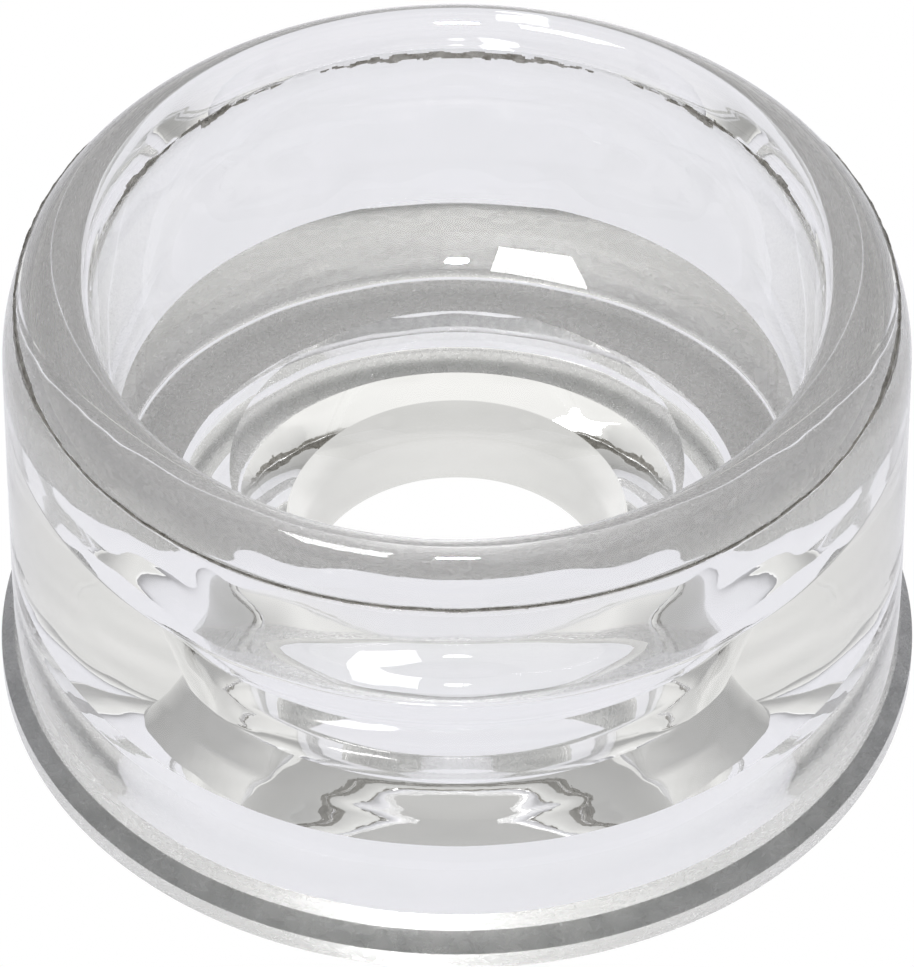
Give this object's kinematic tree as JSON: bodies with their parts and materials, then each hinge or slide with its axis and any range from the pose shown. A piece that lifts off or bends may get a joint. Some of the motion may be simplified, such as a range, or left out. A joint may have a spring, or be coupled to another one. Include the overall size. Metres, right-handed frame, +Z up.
{
  "type": "glass ring insulator",
  "caption": "One-piece pressed clear-glass ring insulator: foot flange, open bowl, stepped well and a through bore.",
  "frame": {"origin": "centre of the base plane, on the turning axis", "axes": "+Z up along the bore axis towards the rim; X and Y are any pair of diameters"},
  "size_m": [0.07, 0.07, 0.0383],
  "materials": {
    "clear_flint_glass": "fire-polished clear"
  },
  "bodies": {
    "root": {"glass_body": "clear_flint_glass"}
  },
  "joints": []
}
